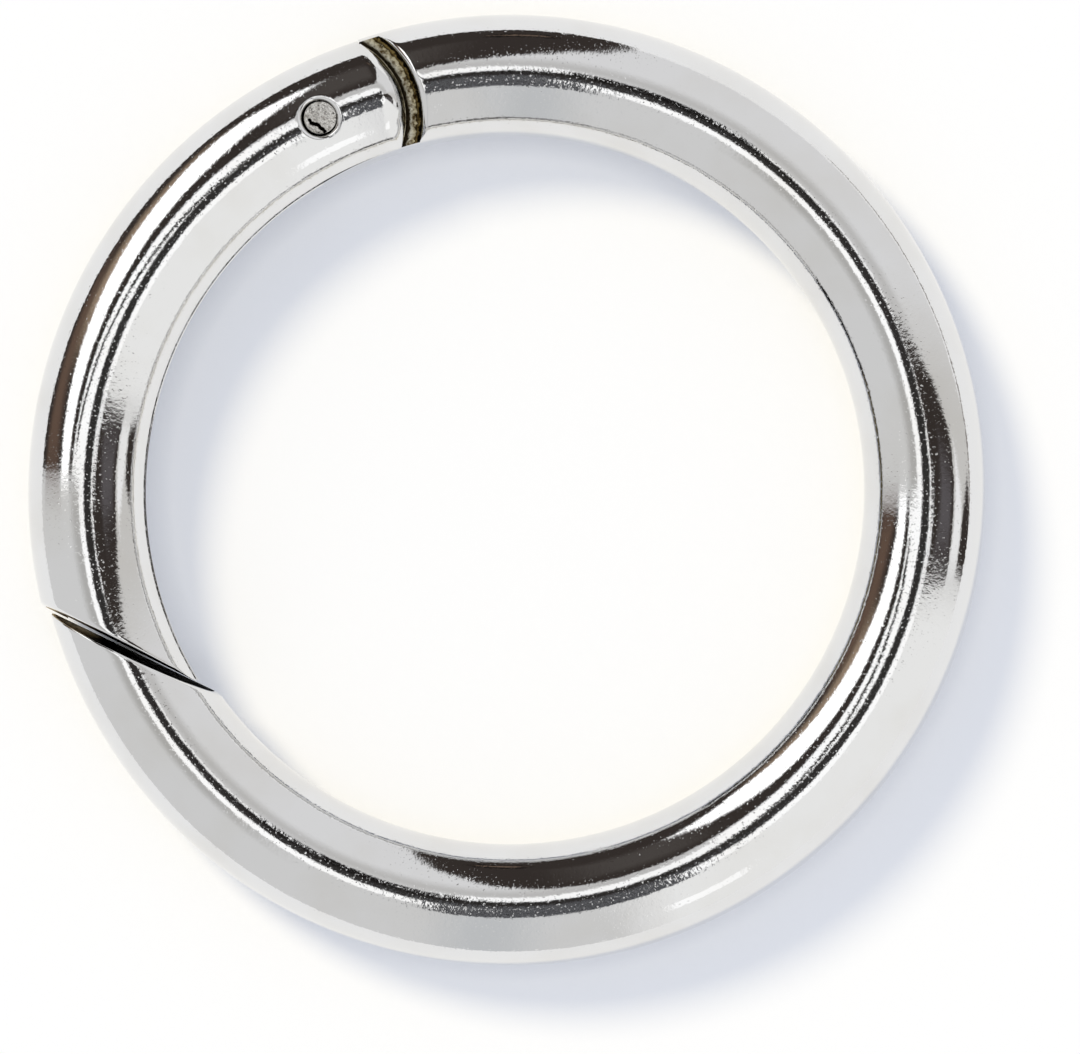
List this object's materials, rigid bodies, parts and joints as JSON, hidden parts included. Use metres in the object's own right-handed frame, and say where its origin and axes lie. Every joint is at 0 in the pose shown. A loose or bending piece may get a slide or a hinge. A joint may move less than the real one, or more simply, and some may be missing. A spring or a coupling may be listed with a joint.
{
  "type": "bag ring",
  "caption": "Round-bar ring for bags that opens: a sprung, channelled gate turns inwards on a riveted pin and closes on a slanted mouth.",
  "frame": {"origin": "on the ring's axis, in the plane that the ring lies on", "axes": "+Z along the ring's axis, out of the face that lies up; the hinge is 117 degrees and the mouth 202 degrees round from +X, anticlockwise seen from +Z"},
  "size_m": [0.0473, 0.047, 0.006],
  "materials": {
    "plated_casting": "nickel plated, polished",
    "pin_steel": "nickel plated, sheared ends",
    "spring_steel": "drawn wire"
  },
  "bodies": {
    "ring": {"ring_body": "plated_casting", "hinge_pin": "pin_steel"},
    "gate": {"gate": "plated_casting", "gate_spring": "spring_steel"}
  },
  "joints": [
    {"name": "gate_hinge", "type": "hinge", "parent": "ring", "child": "gate", "pos_m": [-0.00931, 0.01827, 0.003], "axis": [0, 0, 1], "range_deg": [0, 30], "stiffness_Nm_per_rad": 0.0034, "springref_deg": -68.75, "deforming": ["gate_spring"]}
  ]
}
